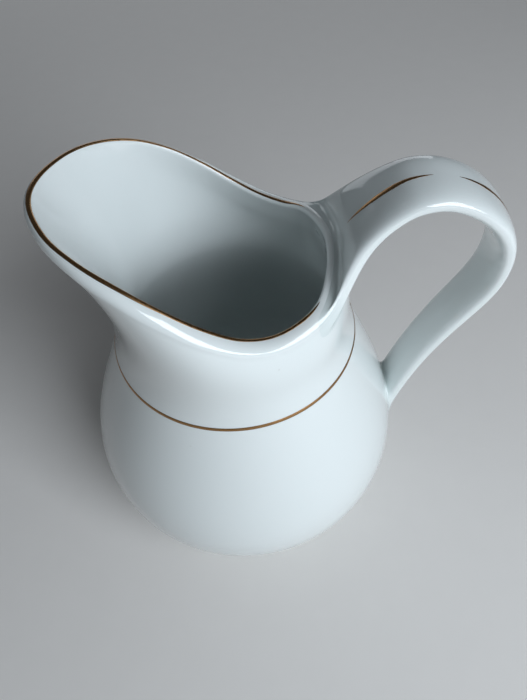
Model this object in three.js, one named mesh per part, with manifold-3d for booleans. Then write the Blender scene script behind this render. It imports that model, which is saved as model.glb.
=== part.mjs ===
// Porcelain cream jug: slip-cast body with a wide pouring spout, turned foot ring, luted strap handle and hand-laid gilding.
// Millimetres, +Z up, table at z = 0, +X toward the handle, -X toward the spout, symmetric about the plane y = 0.
import * as THREE from "three";
import { mergeVertices } from "three/addons/utils/BufferGeometryUtils.js";
import Module from "manifold-3d";

const wasm = await Module();
wasm.setup();

// ---------------------------------------------------------------- driving dimensions
// Body, outside. Radii are from the body's axis, heights from the table unless said otherwise.
const SHOULDER_R = 31; // where the shoulder line is painted
const SHOULDER_Z = 73;
const SHOULDER_SLOPE = -0.36; // radius lost per millimetre of rise at the shoulder
const BELLY_R = 45.2;
const BELLY_Z = 29;
const TUCK_POWER = 2.4; // squareness of the curve that tucks the belly under
const FOOT_R = 27.6; // outside of the foot ring
const FOOT_W = 3.6;
const FOOT_H = 5.1; // where the belly meets the outside of the foot ring
const WALL = 2.9;
const BASE_WALL = 3.6;
const BASE_RECESS = 0.6; // the base's underside below the belly's curve, inside the ring

// Mouth: angle from the handle in degrees, radius of the lip's crest, its height above the shoulder line.
const MOUTH = [
  [0, 23.1, 26.6],
  [20, 23.5, 25.4],
  [40, 24.5, 23.6],
  [55, 24.1, 22.4],
  [70, 24.3, 23],
  [85, 25.1, 25.9],
  [100, 26.1, 30.8],
  [115, 27.4, 36],
  [130, 29.2, 40.4],
  [145, 31.6, 43.2],
  [160, 34.1, 44.6],
  [180, 36.2, 45.2],
];
// Lip and neck, on the sides and at the spout.
const LIP_ROLL = [3.3, 1.5]; // how far the rolled lip stands out from the crest
const LIP_DROP = [2.4, 1.9]; // how far below the crest the roll is widest
const LIP_INNER = 0.6; // from the crest to the inner wall
const NECK_HOLD = [9, 9.5]; // rise over which the neck keeps the shoulder's slope
const NECK_REACH = [9, 16.3]; // rise over which it takes the lip's
const NECK_FLARE = [-0.32, 0.55]; // the lip's slope
const SPOUT_FROM = 95; // degrees where the sides give way to the spout
const SPOUT_FULL = 165;

// Handle centreline, in the plane y = 0.
const ROOT_IN = 0.5; // start of the strap outside the lip's crest
const ROOT_DROP = 3.1; // and below it
const ROOT_ANGLE = 68; // degrees of climb there
const CROWN_OUT = 19.8; // crown outside the lip's crest
const CROWN_RISE = 13.8; // crown above the lip's crest
const BACK_OUT = 17.4; // farthest point outside the belly
const BACK_RISE = 18.8; // its height above the shoulder line
const TAIL_RISE = 2.3; // lower end above the belly's widest height
const TAIL_SINK = 2; // lower end inside the body's outer surface
const TAIL_ANGLE = 80; // degrees from level there
const ROOT_PULL = 9.2;
const CROWN_PULL = [9.1, 7.4];
const BACK_PULL = [13.9, 14.4];
const TAIL_PULL = 42;
// Strap: half widths at the root, on the rise, at the crown, past it, at the back, down the tail and at its end.
const STRAP_HALF = [15.5, 10.4, 8.1, 8.1, 6.8, 6.1, 6.4];
const STRAP_THICK = 4.6;
const ROOT_THICKEN = 2.6; // extra thickness at the root
const ROOT_BLEND = 18; // length over which that fades
const ROOT_DISH = 2.4; // hollow of the outer face at the root
const DISH_BLEND = 24;
const STRAP_POWER = 2.7; // squareness of the strap's section

// Joints and gilding.
const GAP = 0.3; // between pieces that meet
const LUTE = 2.3; // thickness of the slip that joins the handle
const LUTE_SPREAD = 1.1; // how far the slip stands out round the handle
const GILT_LIFT = 0.05;
const GILT_THICK = 0.2;
const GILT_RIM_W = 1.1;
const GILT_RING_W = 0.9;
const GILT_STROKE_W = 1.2;
const GILT_RIM_END = 40; // degrees from the handle where the rim line stops, each side
const STROKE_UPPER = [8, 28.5]; // start and end of each brush stroke, along the strap
const STROKE_BACK = [33, 51];

const TURN = 54; // facets round the body
const SECTION = 20; // facets round the strap
const STRAP_STEP = 2.4; // facet length along it
const RAD = Math.PI / 180;

// ---------------------------------------------------------------- helpers
const mix = (a, b, t) => a + (b - a) * t;
const smooth = (a, b, x) => {
  const t = Math.min(1, Math.max(0, (x - a) / (b - a)));
  return t * t * (3 - 2 * t);
};
const bezier = (p, t) => {
  const s = 1 - t;
  return [0, 1].map(
    (i) => s ** 3 * p[0][i] + 3 * s * s * t * p[1][i] + 3 * s * t * t * p[2][i] + t ** 3 * p[3][i],
  );
};
// Smooth curve through stations [x, y], flat at both ends.
function through(stations, x) {
  let k = 0;
  while (k < stations.length - 2 && stations[k + 1][0] <= x) k++;
  const slope = (i) =>
    i <= 0 || i >= stations.length - 1
      ? 0
      : (stations[i + 1][1] - stations[i - 1][1]) / (stations[i + 1][0] - stations[i - 1][0]);
  const [x0, y0] = stations[k],
    [x1, y1] = stations[k + 1],
    h = x1 - x0,
    t = Math.min(1, Math.max(0, (x - x0) / h));
  return (
    (2 * t ** 3 - 3 * t ** 2 + 1) * y0 +
    (t ** 3 - 2 * t ** 2 + t) * h * slope(k) +
    (3 * t ** 2 - 2 * t ** 3) * y1 +
    (t ** 3 - t ** 2) * h * slope(k + 1)
  );
}
const fromHandle = (degrees) => Math.abs(((degrees + 540) % 360) - 180);
const CREST_R = MOUTH.map(([a, r]) => [a, r]);
const CREST_Z = MOUTH.map(([a, , z]) => [a, SHOULDER_Z + z]);

// ---------------------------------------------------------------- body surface
const superellipse = (x) => (1 - x ** TUCK_POWER) ** (1 / TUCK_POWER);
const TUCK_DROP = (BELLY_Z - FOOT_H) / superellipse(FOOT_R / BELLY_R);
const tuckZ = (r) => BELLY_Z - TUCK_DROP * superellipse(r / BELLY_R);
const BASE_Z = tuckZ(FOOT_R - FOOT_W) - BASE_RECESS;
const rise = SHOULDER_Z - BELLY_Z;
const UPPER_BELLY = [
  [BELLY_R, BELLY_Z],
  [BELLY_R, BELLY_Z + rise / 3],
  [SHOULDER_R - (SHOULDER_SLOPE * rise) / 3, SHOULDER_Z - rise / 3],
  [SHOULDER_R, SHOULDER_Z],
];
// Outer radius of the body between the belly and the shoulder.
function bodyRadius(z) {
  let low = 0,
    high = 1;
  for (let i = 0; i < 40; i++) {
    const t = (low + high) / 2;
    if (bezier(UPPER_BELLY, t)[1] < z) low = t;
    else high = t;
  }
  return bezier(UPPER_BELLY, low)[0];
}

const TUCK_ROWS = 6,
  BELLY_ROWS = 8,
  NECK_ROWS = 8;
const SHOULDER_AT = 1 + TUCK_ROWS + BELLY_ROWS + 1; // index of the shoulder line in a meridian
// Outer meridian at an angle, from the foot joint to the lip's outer roll, as [r, z].
function outerMeridian(degrees) {
  const spout = smooth(SPOUT_FROM, SPOUT_FULL, fromHandle(degrees));
  const p = [[FOOT_R - FOOT_W, tuckZ(FOOT_R - FOOT_W)]];
  const from = superellipse(FOOT_R / BELLY_R);
  for (let i = 0; i < TUCK_ROWS; i++) {
    const u = from * Math.cos((Math.PI / 2) * (i / TUCK_ROWS));
    p.push([BELLY_R * superellipse(u), BELLY_Z - TUCK_DROP * u]);
  }
  for (let i = 0; i < BELLY_ROWS; i++) p.push(bezier(UPPER_BELLY, i / BELLY_ROWS));
  const half = GILT_RING_W / 2;
  for (const d of [-half, 0, half]) p.push([SHOULDER_R + SHOULDER_SLOPE * d, SHOULDER_Z + d]);
  const crest = [through(CREST_R, fromHandle(degrees)), through(CREST_Z, fromHandle(degrees))];
  const out = mix(...LIP_ROLL, spout),
    down = mix(...LIP_DROP, spout),
    hold = mix(...NECK_HOLD, spout),
    reach = mix(...NECK_REACH, spout),
    flare = mix(...NECK_FLARE, spout);
  const lip = [crest[0] + out, crest[1] - down];
  const neck = [
    p[p.length - 1],
    [SHOULDER_R + SHOULDER_SLOPE * hold, SHOULDER_Z + hold],
    [lip[0] - flare * reach, lip[1] - reach],
    lip,
  ];
  for (let i = 1; i <= NECK_ROWS; i++) p.push(bezier(neck, i / NECK_ROWS));
  return { points: p, crest, out, down };
}
// Unit normals of a meridian, pointing out of the body.
function normals(p) {
  return p.map((q, i) => {
    const a = p[Math.max(0, i - 1)],
      b = p[Math.min(p.length - 1, i + 1)];
    const dr = b[0] - a[0],
      dz = b[1] - a[1],
      l = Math.hypot(dr, dz);
    return [dz / l, -dr / l];
  });
}
// The lip from its outer roll over the crest to the inner wall.
function lipCurve({ crest: [r, z], out, down }) {
  const w = GILT_RIM_W;
  const roll = [
    [r + out, z - down],
    [r + out * 1.02, z - down * 0.42],
    [r + out * 0.62, z - 0.02],
    [r + w * 0.55, z - 0.06],
  ];
  const p = [0.34, 0.67, 1].map((t) => bezier(roll, t));
  p.push([r, z]);
  p.push([r - w * 0.38, z - w * 0.28]);
  p.push([r - LIP_INNER, z - 1.3]);
  return p;
}
const GILT_RIM_AT = [2, 3, 4]; // the points of the lip curve that carry gold

const ring = (p, degrees) => {
  const c = Math.cos(degrees * RAD),
    s = Math.sin(degrees * RAD);
  return [p[0] * c, p[0] * s, p[1]];
};
// Faces of a closed skin from rows of points: rows[i][j] is row i at angle j; a pole closes each end.
function lathed(rows, first, last) {
  const n = rows[0].length,
    v = [first, ...rows.flat(), last],
    f = [];
  const at = (i, j) => 1 + i * n + (((j % n) + n) % n);
  for (let j = 0; j < n; j++) f.push([0, at(0, j + 1), at(0, j)]);
  for (let i = 0; i + 1 < rows.length; i++)
    for (let j = 0; j < n; j++) {
      f.push([at(i, j), at(i, j + 1), at(i + 1, j + 1)]);
      f.push([at(i, j), at(i + 1, j + 1), at(i + 1, j)]);
    }
  for (let j = 0; j < n; j++) f.push([v.length - 1, at(rows.length - 1, j), at(rows.length - 1, j + 1)]);
  return { v, f };
}
// Faces of a bar through loops of points, closed on itself or capped at both ends.
function lofted(loops, closed = false) {
  const n = loops[0].length,
    v = loops.flat(),
    f = [],
    m = loops.length;
  const at = (i, j) => (i % m) * n + (j % n);
  for (let i = 0; i < (closed ? m : m - 1); i++)
    for (let j = 0; j < n; j++) {
      f.push([at(i, j), at(i, j + 1), at(i + 1, j + 1)]);
      f.push([at(i, j), at(i + 1, j + 1), at(i + 1, j)]);
    }
  if (!closed)
    for (let j = 1; j + 1 < n; j++) {
      f.push([at(0, 0), at(0, j + 1), at(0, j)]);
      f.push([at(m - 1, 0), at(m - 1, j), at(m - 1, j + 1)]);
    }
  return { v, f };
}
function solid({ v, f }) {
  const g = new THREE.BufferGeometry();
  g.setAttribute("position", new THREE.Float32BufferAttribute(v.flat(), 3));
  g.setIndex(f.flat());
  const merged = mergeVertices(g, 1e-4);
  const made = new wasm.Manifold(
    new wasm.Mesh({
      numProp: 3,
      vertProperties: new Float32Array(merged.attributes.position.array),
      triVerts: new Uint32Array(merged.index.array),
    }),
  );
  return made.volume() > 0 ? made : solid({ v, f: f.map(([a, b, c]) => [a, c, b]) });
}
const meridians = Array.from({ length: TURN }, (_, j) => {
  const degrees = (j * 360) / TURN,
    m = outerMeridian(degrees);
  return { ...m, degrees, normal: normals(m.points), lip: lipCurve(m) };
});
const LAST = meridians[0].points.length - 1;
const perAngle = (pick) => meridians.map((m) => ring(pick(m), m.degrees));

function bodySolid() {
  const rows = [0.35, 0.7, 0.94].map((k) => perAngle(() => [(FOOT_R - FOOT_W) * k, BASE_Z]));
  for (let i = 0; i <= LAST; i++) rows.push(perAngle((m) => m.points[i]));
  for (let i = 0; i < meridians[0].lip.length; i++) rows.push(perAngle((m) => m.lip[i]));
  // The inner wall follows the outer one and thins or thickens into the lip.
  const floor = BASE_Z + BASE_WALL;
  for (let i = LAST - 1; i >= 2; i -= i > SHOULDER_AT + 2 ? 1 : 2)
    rows.push(
      perAngle((m) => {
        const wall = mix(WALL, m.out + LIP_INNER, smooth(SHOULDER_AT + 3, LAST, i));
        const p = m.points[i],
          n = m.normal[i];
        return [p[0] - n[0] * wall, Math.max(p[1] - n[1] * wall, floor + 0.2)];
      }),
    );
  rows.push(perAngle(() => [(FOOT_R - FOOT_W) * 0.7, floor]));
  return solid(lathed(rows, [0, 0, BASE_Z + 0.3], [0, 0, floor]));
}
// The body as a filled mass, grown outward by a distance.
function grownMass(by) {
  const rows = [];
  for (let i = 0; i <= LAST; i++)
    rows.push(perAngle((m) => [m.points[i][0] + m.normal[i][0] * by, m.points[i][1] + m.normal[i][1] * by]));
  rows.push(perAngle((m) => [m.crest[0] + m.out * 0.62 + by * 0.6, m.crest[1] - 0.1 + by * 0.9]));
  rows.push(perAngle((m) => [m.crest[0], m.crest[1] + by]));
  return solid(lathed(rows, [0, 0, BASE_Z - by], [0, 0, SHOULDER_Z]));
}
// Everything above the shoulder inside the crest of the lip, which no handle piece may enter.
function mouthColumn() {
  const top = SHOULDER_Z + MOUTH[MOUTH.length - 1][2] + 20;
  const rows = [SHOULDER_Z, top].map((z) => perAngle((m) => [m.crest[0] + GAP, z]));
  return solid(lathed(rows, [0, 0, SHOULDER_Z], [0, 0, top]));
}
// A strip of gilding: painted points of each meridian, lifted off the glaze.
function giltBand(list, paintedOf, closed) {
  const loops = list.map((m) => {
    const p = paintedOf(m),
      n = normals(p);
    const at = (h) => p.map((q, i) => [q[0] + n[i][0] * h, q[1] + n[i][1] * h]);
    return [...at(GILT_LIFT), ...at(GILT_LIFT + GILT_THICK).reverse()].map((q) => ring(q, m.degrees));
  });
  return solid(lofted(loops, closed));
}

// ---------------------------------------------------------------- foot ring
function footSolid() {
  const inner = FOOT_R - FOOT_W,
    profile = [
      [inner, 0.7],
      [inner + 0.7, 0],
      [FOOT_R - 0.8, 0],
      [FOOT_R, 0.8],
    ];
  for (const r of [FOOT_R, FOOT_R - FOOT_W / 2]) profile.push([r, tuckZ(r) - GAP * 1.2]);
  profile.push([inner, BASE_Z - GAP]);
  const g = new THREE.LatheGeometry(
    [...profile, profile[0]].map(([r, z]) => new THREE.Vector2(r, z)),
    TURN,
  );
  g.rotateX(Math.PI / 2);
  const at = g.attributes.position,
    v = [],
    f = [];
  for (let i = 0; i < at.count; i++) v.push([at.getX(i), at.getY(i), at.getZ(i)]);
  for (let i = 0; i < g.index.count; i += 3) f.push([g.index.getX(i), g.index.getX(i + 1), g.index.getX(i + 2)]);
  return solid({ v, f });
}

// ---------------------------------------------------------------- handle
const lipAtHandle = [MOUTH[0][1], SHOULDER_Z + MOUTH[0][2]];
const tailZ = BELLY_Z + TAIL_RISE;
const root = [lipAtHandle[0] + ROOT_IN, lipAtHandle[1] - ROOT_DROP],
  crown = [lipAtHandle[0] + CROWN_OUT, lipAtHandle[1] + CROWN_RISE],
  back = [BELLY_R + BACK_OUT, SHOULDER_Z + BACK_RISE],
  tail = [bodyRadius(tailZ) - TAIL_SINK, tailZ];
const point = ([x, z]) => new THREE.Vector3(x, 0, z);
const along = ([x, z], degrees, d) => [x + Math.cos(degrees * RAD) * d, z + Math.sin(degrees * RAD) * d];
const path = new THREE.CurvePath();
for (const [a, b, c, d] of [
  [root, along(root, ROOT_ANGLE, ROOT_PULL), along(crown, 180, CROWN_PULL[0]), crown],
  [crown, along(crown, 0, CROWN_PULL[1]), along(back, 90, BACK_PULL[0]), back],
  [back, along(back, -90, BACK_PULL[1]), along(tail, TAIL_ANGLE, TAIL_PULL), tail],
])
  path.add(new THREE.CubicBezierCurve3(point(a), point(b), point(c), point(d)));
const [toCrown, toBack, LENGTH] = path.getCurveLengths();
const halfWidths = [0, toCrown * 0.42, toCrown, (toCrown + toBack) / 2, toBack, (toBack + LENGTH) / 2, LENGTH].map(
  (s, i) => [s, STRAP_HALF[i]],
);
// The strap's frame at a distance along it: centre, outward direction, half width, half thickness, dish.
function station(s) {
  const u = Math.min(1, Math.max(0, s / LENGTH)),
    c = path.getPointAt(u),
    d = path.getTangentAt(u);
  return {
    c,
    out: new THREE.Vector3(-d.z, 0, d.x),
    a: through(halfWidths, s),
    b: STRAP_THICK / 2 + (ROOT_THICKEN / 2) * (1 - smooth(0, ROOT_BLEND, s)),
    dish: ROOT_DISH * (1 - smooth(2, DISH_BLEND, s)),
  };
}
// A point of the strap's skin: turn 0 is the +y edge, 90 degrees the outer face.
function skin({ c, out, a, b, dish }, turn, grow = 0) {
  const cs = Math.cos(turn),
    sn = Math.sin(turn),
    e = 2 / STRAP_POWER;
  const y = (a + grow) * Math.sign(cs) * Math.abs(cs) ** e;
  let n = (b + grow) * Math.sign(sn) * Math.abs(sn) ** e;
  if (sn > 0) n -= dish * (1 - (y / (a + grow)) ** 2) * sn;
  return [c.x + out.x * n, y, c.z + out.z * n];
}
const STEPS = Math.round(LENGTH / STRAP_STEP);
const stepOf = (i) => station((i / STEPS) * LENGTH);
function strap(first, last, grow) {
  const loops = [];
  for (let i = first; i <= last; i++) {
    const at = stepOf(i);
    loops.push(Array.from({ length: SECTION }, (_, j) => skin(at, (j * 2 * Math.PI) / SECTION, grow)));
  }
  return solid(lofted(loops));
}
const slipFace = grownMass(GAP),
  slipBack = grownMass(GAP + LUTE),
  handleFace = grownMass(2 * GAP + LUTE),
  mouth = mouthColumn();
const largest = (s) => s.decompose().sort((a, b) => b.volume() - a.volume())[0];
const handleSolid = () => largest(strap(0, STEPS, 0).subtract(handleFace).subtract(mouth));
const luting = (first, last) =>
  largest(strap(first, last, LUTE_SPREAD).intersect(slipBack).subtract(slipFace).subtract(mouth));
// The outer face's middle and the next point beside it, on the strap's own facets at any distance along it.
function onFacet(s) {
  const at = Math.min(STEPS - 1, Math.floor((s / LENGTH) * STEPS)),
    t = (s / LENGTH) * STEPS - at;
  const [low, high] = [stepOf(at), stepOf(at + 1)].map((f) =>
    [0, 1].map((k) => new THREE.Vector3(...skin(f, Math.PI / 2 - (k * 2 * Math.PI) / SECTION))),
  );
  return { top: low[0].lerp(high[0], t), side: low[1].lerp(high[1], t), out: station(s).out };
}
// A brush stroke down the middle of the outer face, pointed at both ends.
function stroke([from, to]) {
  const first = Math.floor((from / LENGTH) * STEPS) + 1,
    last = Math.ceil((to / LENGTH) * STEPS) - 1;
  const stops = [from];
  for (let i = first; i <= last; i++) stops.push((i / STEPS) * LENGTH);
  stops.push(to);
  const loops = stops.map((s) => {
    const { top, side, out } = onFacet(s),
      w = (GILT_STROKE_W / 2) * Math.sin(Math.PI * mix(0.06, 0.94, (s - from) / (to - from)));
    const fall = side.clone().sub(top).dot(out) * (w / side.y);
    const lift = (y, h) => [top.x + out.x * h, y, top.z + out.z * h];
    const low = GILT_LIFT,
      high = GILT_LIFT + GILT_THICK;
    return [
      lift(-w, fall + low),
      lift(0, low),
      lift(w, fall + low),
      lift(w, fall + high),
      lift(0, high),
      lift(-w, fall + high),
    ];
  });
  return solid(lofted(loops));
}

// ---------------------------------------------------------------- nodes
const porcelain = () => new THREE.MeshStandardMaterial({ color: 0xeef2f3, roughness: 0.12, metalness: 0 });
const biscuit = () => new THREE.MeshStandardMaterial({ color: 0xe6e1d6, roughness: 0.75, metalness: 0 });
const gold = () => new THREE.MeshStandardMaterial({ color: 0xb07a3c, roughness: 0.3, metalness: 1 });

const shoulderPoints = (m) => m.points.slice(SHOULDER_AT - 1, SHOULDER_AT + 2);
const rimPoints = (m) => GILT_RIM_AT.map((i) => m.lip[i]);
const gilded = meridians.filter((m) => fromHandle(m.degrees) > GILT_RIM_END - 1);
const pieces = [
  ["jug_body", bodySolid(), porcelain()],
  ["foot_ring", footSolid(), biscuit()],
  ["handle", handleSolid(), porcelain()],
  ["upper_handle_luting", luting(0, Math.round(STEPS * 0.2)), porcelain()],
  ["lower_handle_luting", luting(Math.round(STEPS * 0.7), STEPS), porcelain()],
  ["rim_gilding", giltBand(gilded, rimPoints, false), gold()],
  ["shoulder_gilding", giltBand(meridians, shoulderPoints, true), gold()],
  ["handle_gilding_upper", stroke(STROKE_UPPER), gold()],
  ["handle_gilding_back", stroke(STROKE_BACK), gold()],
];

const jug = new THREE.Group();
const bounds = new THREE.Box3();
for (const [name, made, material] of pieces) {
  const m = made.getMesh(),
    v = new Float32Array(m.numVert * 3);
  for (let i = 0; i < m.numVert; i++) v.set(m.vertProperties.subarray(i * m.numProp, i * m.numProp + 3), i * 3);
  const g = new THREE.BufferGeometry();
  g.setAttribute("position", new THREE.BufferAttribute(v, 3));
  g.setIndex(new THREE.BufferAttribute(new Uint32Array(m.triVerts), 1));
  g.computeBoundingBox();
  bounds.union(g.boundingBox);
  const mesh = new THREE.Mesh(g, material);
  mesh.name = name;
  jug.add(mesh);
}
// The frame's origin is under the middle of the whole jug, so the body's axis stands off it toward the spout.
const shift = -(bounds.min.x + bounds.max.x) / 2;
for (const mesh of jug.children) mesh.geometry.translate(shift, 0, 0);

export default jug;
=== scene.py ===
"""Porcelain cream jug: cast body with a wide spout, foot ring, strap handle and hand-laid gold lines."""
import math

import bmesh
import bpy
import numpy as np
from bpy.props import FloatProperty, FloatVectorProperty, IntProperty, PointerProperty
from mathutils import Euler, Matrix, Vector


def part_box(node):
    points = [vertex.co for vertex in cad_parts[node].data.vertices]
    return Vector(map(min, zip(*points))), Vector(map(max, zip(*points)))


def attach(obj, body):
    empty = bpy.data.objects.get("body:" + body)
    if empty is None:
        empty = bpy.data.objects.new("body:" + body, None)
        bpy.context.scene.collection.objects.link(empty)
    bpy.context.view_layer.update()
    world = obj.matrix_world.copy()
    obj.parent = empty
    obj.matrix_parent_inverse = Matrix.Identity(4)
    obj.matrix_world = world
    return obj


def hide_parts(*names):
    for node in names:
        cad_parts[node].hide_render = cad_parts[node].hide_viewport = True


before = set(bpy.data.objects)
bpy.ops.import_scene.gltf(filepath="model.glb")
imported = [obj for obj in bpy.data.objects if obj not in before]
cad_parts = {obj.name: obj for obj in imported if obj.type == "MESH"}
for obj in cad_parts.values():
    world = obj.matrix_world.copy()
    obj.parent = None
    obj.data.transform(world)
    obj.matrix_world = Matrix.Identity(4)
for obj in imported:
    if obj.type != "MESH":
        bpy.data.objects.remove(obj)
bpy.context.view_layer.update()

bl_info = {
    "name": "Porcelain Cream Jug",
    "version": (1, 0, 0),
    "blender": (4, 5, 0),
    "location": "View3D > Sidebar > Cream Jug",
    "description": "Builds a gilt porcelain cream jug round its measured frame",
    "category": "Object",
}

# ------------------------------------------------------------------ the frame's own sizes
MM = 0.001
BODY_LOW = Vector(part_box("jug_body")[0])
FOOT_LOW, FOOT_HIGH = (Vector(corner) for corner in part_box("foot_ring"))
AXIS_X = (FOOT_LOW.x + FOOT_HIGH.x) / 2  # the body turns about this line; the handle is toward +X
JUG_MIDDLE = (AXIS_X, 0, 60 * MM)
CAMERA_AT = (AXIS_X + 6.37 * MM, -91.48 * MM, 186.25 * MM)
FLOOR_GAP = 0.02 * MM  # keeps the floor just clear of the foot ring's standing face

# The mouth: degrees from the handle, radius of the lip's crest and its height above the shoulder line, in mm.
MOUTH = (
    (0, 23.1, 26.6),
    (20, 23.5, 25.4),
    (40, 24.5, 23.6),
    (55, 24.1, 22.4),
    (70, 24.3, 23.0),
    (85, 25.1, 25.9),
    (100, 26.1, 30.8),
    (115, 27.4, 36.0),
    (130, 29.2, 40.4),
    (145, 31.6, 43.2),
    (160, 34.1, 44.6),
    (180, 36.2, 45.2),
)
SPOUT_FROM, SPOUT_FULL = 95, 165  # degrees from the handle where the sides give way to the spout
SWELL_REACH = 0.26  # share of the rim line's length, each way from the spout, over which it is wider
STROKES = ((8.7 * MM, 27.3 * MM), (31.9 * MM, 51 * MM))  # the handle's two, along the strap from its root
BODY_NAME, FOOT_NAME, HANDLE_NAME = "glazed_body", "standing_ring", "strap_handle"


# ------------------------------------------------------------------ sizes and colours a user would change
def length(name, text, value):
    return FloatProperty(name=name, description=text, default=value, unit="LENGTH", precision=5)


def number(name, text, value):
    return FloatProperty(name=name, description=text, default=value)


def colour(name, text, value):
    return FloatVectorProperty(
        name=name, description=text, default=value, size=3, min=0, max=1, subtype="COLOR"
    )


def angle(name, text, degrees):
    return FloatProperty(name=name, description=text, default=math.radians(degrees), subtype="ANGLE")


class JugBodySizes(bpy.types.PropertyGroup):
    belly_radius: length("Belly radius", "Outside radius where the body is widest", AXIS_X - BODY_LOW.x)
    belly_height: length("Belly height", "Height of the widest part above the table", 29 * MM)
    tuck_power: number("Tuck", "Squareness of the curve that tucks the belly under", 2.4)
    shoulder_radius: length("Shoulder radius", "Radius of the painted shoulder line", 31 * MM)
    shoulder_height: length("Shoulder height", "Height of the painted shoulder line", 73 * MM)
    shoulder_slope: number("Shoulder slope", "Radius gained for each unit of rise at the shoulder", -0.36)
    wall: length("Wall", "Thickness of the cast wall", 2.9 * MM)
    floor: length("Floor", "Thickness of the base", 3.6 * MM)
    base_height: length("Base height", "Underside of the base above the table", BODY_LOW.z)
    side_roll: length("Lip roll, sides", "How far the rolled lip stands out from its crest", 3.3 * MM)
    spout_roll: length("Lip roll, spout", "The same at the tip of the spout", 1.5 * MM)
    side_drop: length("Lip drop, sides", "How far below the crest the roll is widest", 2.4 * MM)
    spout_drop: length("Lip drop, spout", "The same at the tip of the spout", 1.9 * MM)
    lip_inner: length("Inner lip", "From the crest in to the inner wall", 0.6 * MM)


class JugFootSizes(bpy.types.PropertyGroup):
    radius: length("Foot radius", "Outside of the foot ring", (FOOT_HIGH.x - FOOT_LOW.x) / 2)
    width: length("Foot width", "Thickness of the ring", 3.6 * MM)
    height: length("Foot height", "Where the belly meets the outside of the ring", 5.1 * MM)
    fillet: length("Foot fillet", "Soft corner between the ring and the belly", 1.3 * MM)
    edge: length("Foot edge", "Rounding of the ring's standing edges", 0.9 * MM)


class JugHandleSizes(bpy.types.PropertyGroup):
    crown_out: length("Crown reach", "Top of the handle outside the lip's crest", 19.8 * MM)
    crown_rise: length("Crown rise", "Top of the handle above the lip's crest", 13.8 * MM)
    back_out: length("Back reach", "Farthest part of the handle outside the belly", 17.4 * MM)
    back_rise: length("Back rise", "Its height above the shoulder line", 18.8 * MM)
    tail_rise: length("Tail rise", "Lower end above the belly's widest part", 2.3 * MM)
    thickness: length("Strap thickness", "Thickness of the strap", 4.6 * MM)
    root_thicken: length("Root thickening", "Extra thickness where the strap leaves the lip", 2.6 * MM)
    root_dish: length("Root hollow", "Hollow of the outer face where the strap leaves the lip", 1.8 * MM)
    section_power: number("Strap squareness", "Squareness of the strap's section", 2.7)
    root_spread: angle("Root spread", "Angle from the handle's middle to where its edge joins the lip", 47)
    root_power: number("Root squareness", "Squareness of the outline the strap leaves on the lip", 4.5)
    root_lift: number("Root lift", "How steeply the outer face leaves the lip", 0.5)
    root_top: length("Root top", "Where the strap's outer face runs out, down from the lip's crest", 0.9 * MM)
    root_under: length("Root under", "Where its inner face runs out, down from the lip's crest", 8.5 * MM)
    side_run: length("Edge run", "Length of strap that is smoothed into the lip at its edges", 10.5 * MM)
    top_run: length("Outer run", "The same on its outer face", 9.0 * MM)
    under_run: length("Inner run", "The same on its inner face", 5.5 * MM)
    tail_fillet: length("Tail fillet", "Slip smoothed in round the lower joint", 1.9 * MM)


class JugGildingSizes(bpy.types.PropertyGroup):
    rim_width: length("Rim line", "Width of the gold along the lip", 0.85 * MM)
    spout_swell: number("Spout swell", "Share by which the rim line is wider at the spout", 1.1)
    ring_width: length("Shoulder line", "Width of the gold round the shoulder", 0.9 * MM)
    stroke_width: length("Handle strokes", "Widest part of each brush stroke on the handle", 1.2 * MM)
    thickness: length("Gold thickness", "How far the gold stands over the glaze", 0.06 * MM)
    rim_end: angle("Rim end", "Angle from the handle where the rim line stops", 37.5)
    waver: number("Waver", "Share by which a hand-drawn line's width varies", 0.14)
    seed: IntProperty(name="Seed", description="Which hand drew the lines", default=5)


class JugFinishes(bpy.types.PropertyGroup):
    glaze: colour("Glaze", "Colour of the glazed porcelain", (0.78, 0.825, 0.82))
    # Pooled glaze colour, darker than the glaze: pooling tint and painted shade in the hollows
    pooled_and_shaded: colour("Pooled glaze", "Colour where the glaze runs thick", (0.60, 0.70, 0.69))
    clay: colour("Bare clay", "Colour of the unglazed standing face", (0.76, 0.72, 0.64))
    # Gold is set darker and browner than the metal, a painted reflection of dark surroundings; worn gold is
    # darker still where the gold is thin
    gold: colour("Gold", "Colour of the burnished gold", (0.42, 0.235, 0.10))
    worn_gold: colour("Worn gold", "Colour where the gold is thin", (0.14, 0.08, 0.045))
    gloss: number("Glaze roughness", "Roughness of the fired glaze", 0.09)


class JugStageSizes(bpy.types.PropertyGroup):
    floor_colour: colour("Floor", "Colour of the floor", (0.86, 0.83, 0.80))
    floor_size: length("Floor size", "Side of the square floor", 4.0)
    key_power: number("Key light", "Power of the window-like light at the right, in watts", 4.3)
    fill_power: number("Fill light", "Power of the weaker light behind, in watts", 1.0)
    room_light: number("Room light", "Strength of the even light all round", 0.07)
    camera_turn: angle("Camera turn", "Turn of the view about the vertical", -0.44)
    camera_drop: angle("Camera tilt", "How far the view looks down from level", 54.0)
    camera_roll: angle("Camera roll", "Lean of the camera", 3.8)
    lens: FloatProperty(
        name="Lens", description="Focal length on a 36 mm frame", default=28.8, unit="CAMERA"
    )


# ------------------------------------------------------------------ curves
def mix(a, b, t):
    return a + (b - a) * t


def smooth(low, high, x):
    t = np.clip((x - low) / (high - low), 0, 1)
    return t * t * (3 - 2 * t)


def sum_bezier(points, t):
    s = 1 - t
    return s**3 * points[0] + 3 * s * s * t * points[1] + 3 * s * t * t * points[2] + t**3 * points[3]


def bezier(points, t):
    """Each coordinate of a cubic curve through four control points."""
    return tuple(sum_bezier(coordinates, t) for coordinates in zip(*points))


def signed_power(x, power):
    return np.sign(x) * np.abs(x) ** power


def run_along(x, z):
    """Length run along each column of points, up to each row."""
    steps = np.hypot(np.diff(x, axis=0), np.diff(z, axis=0))
    return np.concatenate([np.zeros_like(x[:1]), np.cumsum(steps, axis=0)])


def around(radius, turn, height):
    """Points about the body's axis."""
    return np.stack([AXIS_X + radius * np.cos(turn), radius * np.sin(turn), height], axis=-1)


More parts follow.
